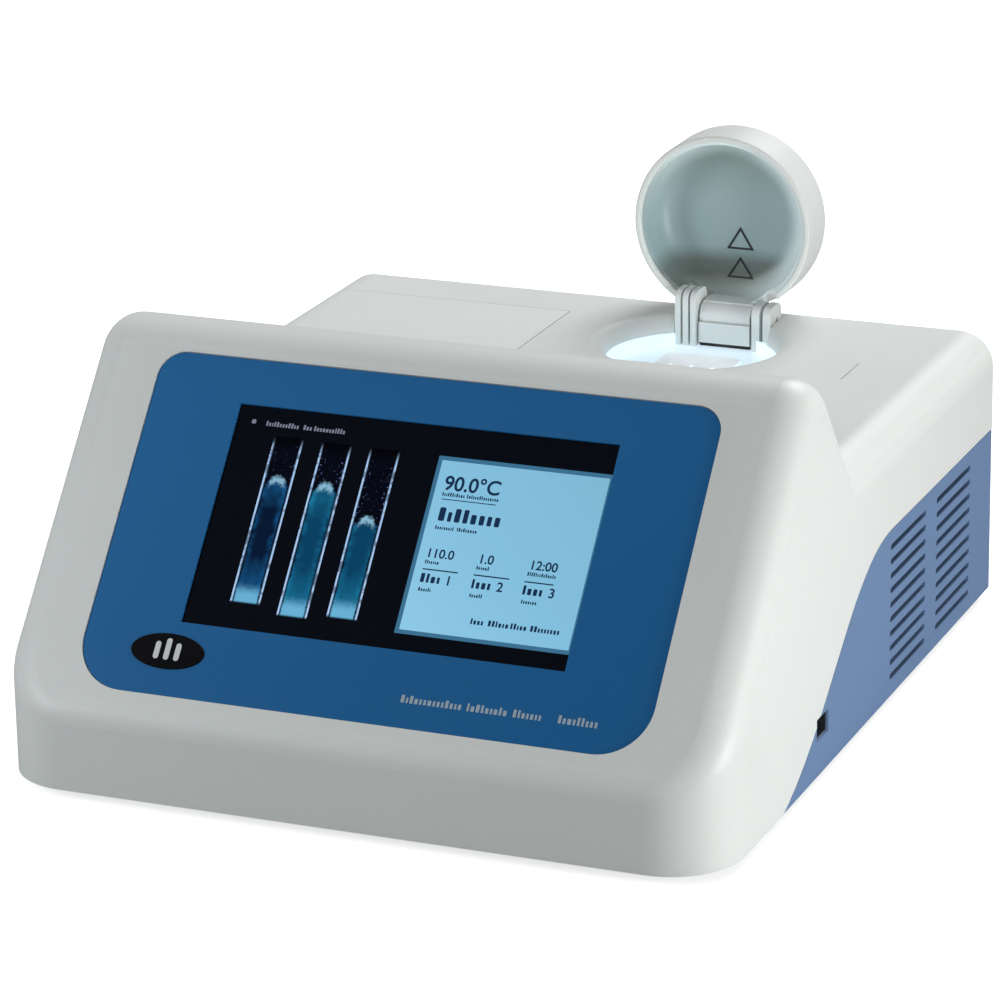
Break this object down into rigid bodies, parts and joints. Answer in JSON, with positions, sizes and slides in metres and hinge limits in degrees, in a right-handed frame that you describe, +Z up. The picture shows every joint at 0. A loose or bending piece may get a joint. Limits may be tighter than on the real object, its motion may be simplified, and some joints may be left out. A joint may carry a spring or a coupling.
{
  "type": "automatic melting point apparatus",
  "caption": "Bench melting point apparatus: sloping touch display, heated block in a lit well under a round lid, storage lid, vented sides.",
  "frame": {"origin": "on the bench under the middle of the overall envelope, open sample lid included", "axes": "+Z up, -Y out of the front with the sloping display, +X to the user's right"},
  "size_m": [0.291, 0.3464, 0.191],
  "materials": {
    "steel": "zinc-plated sheet",
    "shell_white": "fine satin moulded plastic",
    "panel_blue": "satin powder coat",
    "rear_grey": "fine texture powder coat",
    "screw_steel": "satin",
    "foot_rubber": "matt",
    "overlay_blue": "satin printed film",
    "badge_black": "gloss",
    "screen_glass": "gloss cover glass over a dark display",
    "board_green": "solder mask",
    "brass": "turned",
    "psu_metal": "satin sheet",
    "tray_grey": "moulded",
    "pin_steel": "ground",
    "liner_white": "translucent, lit from below",
    "cover_ceramic": "unglazed",
    "oven_aluminium": "machined",
    "jacket_fibre": "pressed mineral fibre",
    "window_glass": "clear",
    "lens_black": "black anodised",
    "lamp_white": "lamp carrier",
    "lid_grey": "moulded lining",
    "black_plastic": "moulded",
    "drawer_black": "moulded",
    "rocker_black": "gloss",
    "port_steel": "bright plated",
    "rotor_black": "moulded"
  },
  "bodies": {
    "housing": {"chassis": "steel", "shell": "shell_white", "panel_left": "panel_blue", "panel_right": "panel_blue", "rear_panel": "rear_grey", "panel_screws": "screw_steel", "feet": "foot_rubber", "foot_screws": "screw_steel", "overlay": "overlay_blue", "badge": "badge_black", "touch_glass": "screen_glass", "lcd_module": "steel", "lcd_bracket": "steel", "display_board": "board_green", "main_board": "board_green", "standoffs": "brass", "power_supply": "psu_metal", "store_tray": "tray_grey", "store_pin": "pin_steel", "well_liner": "liner_white", "block_cover": "cover_ceramic", "oven_block": "oven_aluminium", "oven_base": "oven_aluminium", "heaters": "pin_steel", "sensor": "pin_steel", "jacket": "jacket_fibre", "oven_window": "window_glass", "oven_stand": "steel", "camera_bracket": "steel", "camera_board": "board_green", "camera_lens": "lens_black", "lamp_ring": "lamp_white", "hinge_bracket": "shell_white", "hinge_block": "shell_white", "hinge_pin": "pin_steel", "inlet": "black_plastic", "inlet_pins": "brass", "rocker_frame": "black_plastic", "usb_shells": "port_steel", "usb_blades": "black_plastic", "side_port": "port_steel", "side_port_blade": "black_plastic", "side_port_holder": "steel", "fan_frame": "black_plastic", "fan_guard": "port_steel", "fan_screws": "screw_steel"},
    "store_lid": {"store_lid": "shell_white"},
    "sample_lid": {"lid_shell": "shell_white", "lid_liner": "lid_grey"},
    "fuse_drawer": {"fuse_drawer": "drawer_black"},
    "rocker": {"rocker": "rocker_black"},
    "fan_rotor": {"fan_rotor": "rotor_black"}
  },
  "joints": [
    {"name": "sample_lid_hinge", "type": "hinge", "parent": "housing", "child": "sample_lid", "pos_m": [0.0315, 0.1492, 0.1143], "axis": [1, 0, 0], "range_deg": [0, 90]},
    {"name": "store_lid_hinge", "type": "hinge", "parent": "housing", "child": "store_lid", "pos_m": [-0.1423, 0.0651, 0.097], "axis": [0, -1, 0], "range_deg": [0, 88]},
    {"name": "fan_spin", "type": "hinge", "parent": "housing", "child": "fan_rotor", "pos_m": [0.1319, 0.1068, 0.0355], "axis": [1, 0, 0], "continuous": true},
    {"name": "fuse_drawer_slide", "type": "slide", "parent": "housing", "child": "fuse_drawer", "axis": [0, 1, 0], "range_m": [0, 0.02]},
    {"name": "power_rocker", "type": "hinge", "parent": "housing", "child": "rocker", "pos_m": [-0.03, 0.1546, 0.038], "axis": [-1, 0, 0], "range_deg": [0, 14]}
  ]
}
